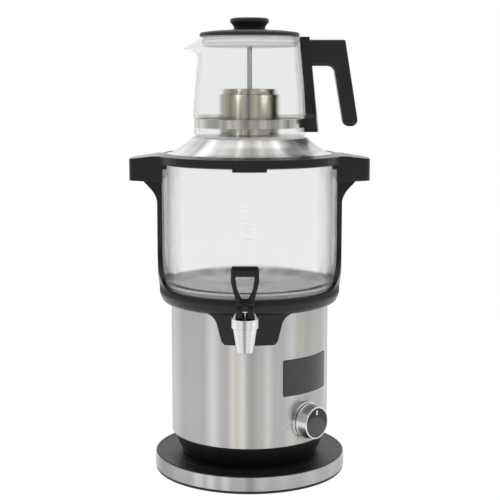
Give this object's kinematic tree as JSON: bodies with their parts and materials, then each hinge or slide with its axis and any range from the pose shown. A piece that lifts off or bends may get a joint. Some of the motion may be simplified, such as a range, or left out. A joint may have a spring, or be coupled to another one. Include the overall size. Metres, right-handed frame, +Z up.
{
  "type": "automatic tea maker",
  "caption": "Two-stage automatic tea maker: glass water vessel with a tap over a round base, steam cone, and a lidded glass teapot with a lift-up infuser on top.",
  "frame": {"origin": "centre of the round base on its resting face", "axes": "+Z up; -Y the front, with the tap; +X the right side, with the teapot's handle"},
  "size_m": [0.2656, 0.2497, 0.5058],
  "materials": {
    "black_plastic": "satin moulded plastic",
    "black_satin": "smooth moulded plastic",
    "brushed_steel": "brushed stainless steel",
    "polished_steel": "polished stainless steel",
    "glass": "clear",
    "display_glass": "dark tinted",
    "knob_face": "gloss",
    "white_mark": "printed insert",
    "clear_plastic": "translucent",
    "silicone": "soft silicone",
    "plain_steel": "plain",
    "brass": "bare",
    "green_board": "laminate",
    "inner_plastic": "moulded"
  },
  "bodies": {
    "base": {"base_tray": "black_plastic", "base_rim": "brushed_steel", "base_cover": "black_plastic", "base_feet": "silicone", "base_screws": "plain_steel", "power_plug": "black_plastic", "plug_contacts": "brass"},
    "machine": {"foot_ring": "black_plastic", "lower_frame": "black_plastic", "upper_frame": "black_plastic", "power_socket": "black_plastic", "display_frame": "black_satin", "body_shell": "brushed_steel", "knob_bezel": "polished_steel", "heater_dish": "polished_steel", "tap_body": "polished_steel", "tap_collar": "polished_steel", "glass_vessel": "glass", "display_window": "display_glass", "vessel_seal": "silicone", "upper_seal": "silicone", "dish_seal": "silicone", "tap_seal": "silicone", "drain_hose": "silicone", "socket_screws": "plain_steel", "frame_screws": "plain_steel", "board_screws": "plain_steel", "dish_nuts": "plain_steel", "tap_nut": "plain_steel", "encoder_nut": "plain_steel", "valve_spring": "plain_steel", "thermostat": "plain_steel", "thermal_fuse": "plain_steel", "temperature_probe": "plain_steel", "heating_element": "plain_steel", "socket_contacts": "brass", "control_board": "green_board", "board_parts": "inner_plastic", "display_module": "inner_plastic", "encoder": "inner_plastic"},
    "selector": {"knob_body": "polished_steel", "knob_face": "knob_face", "knob_pointer": "white_mark", "knob_shaft": "plain_steel"},
    "tap_valve": {"tap_stem": "polished_steel", "valve_plug": "silicone", "tap_pin": "polished_steel"},
    "lever": {"tap_lever": "black_plastic"},
    "cone": {"steam_cone": "brushed_steel"},
    "teapot": {"pot_glass": "glass", "pot_band": "brushed_steel", "pot_handle": "black_plastic", "handle_screw": "polished_steel"},
    "lid": {"lid_cover": "black_plastic", "lid_skirt": "clear_plastic", "lid_seal": "silicone"},
    "infuser": {"lift_rod": "polished_steel", "lift_knob": "black_satin", "basket_cap": "black_satin", "tea_basket": "brushed_steel"}
  },
  "joints": [
    {"name": "base_swivel", "type": "hinge", "parent": "base", "child": "machine", "pos_m": [0, 0, 0.0204], "axis": [0, 0, 1], "continuous": true},
    {"name": "selector_turn", "type": "hinge", "parent": "machine", "child": "selector", "pos_m": [0.06921, -0.07218, 0.0706], "axis": [0.6921, -0.7218, 0], "range_deg": [-135, 135]},
    {"name": "valve_lift", "type": "slide", "parent": "machine", "child": "tap_valve", "axis": [0, 0, 1], "range_m": [0, 0.0045], "deforming": ["valve_spring"]},
    {"name": "lever_tilt", "type": "hinge", "parent": "tap_valve", "child": "lever", "pos_m": [-0.0046, -0.128, 0.207], "axis": [1, 0, 0], "range_deg": [0, 30], "stiffness_Nm_per_rad": 0.3, "springref_deg": -5.73},
    {"name": "cone_lift", "type": "slide", "parent": "machine", "child": "cone", "axis": [0, 0, 1], "range_m": [0, 0.06]},
    {"name": "teapot_lift", "type": "slide", "parent": "cone", "child": "teapot", "axis": [0, 0, 1], "range_m": [0, 0.1]},
    {"name": "lid_lift", "type": "slide", "parent": "teapot", "child": "lid", "axis": [0, 0, 1], "range_m": [0, 0.12]},
    {"name": "infuser_lift", "type": "slide", "parent": "lid", "child": "infuser", "axis": [0, 0, 1], "range_m": [0, 0.044]}
  ],
  "couplings": [
    {"joint": "valve_lift", "follows": "lever_tilt", "m_per_rad": 0.008}
  ]
}
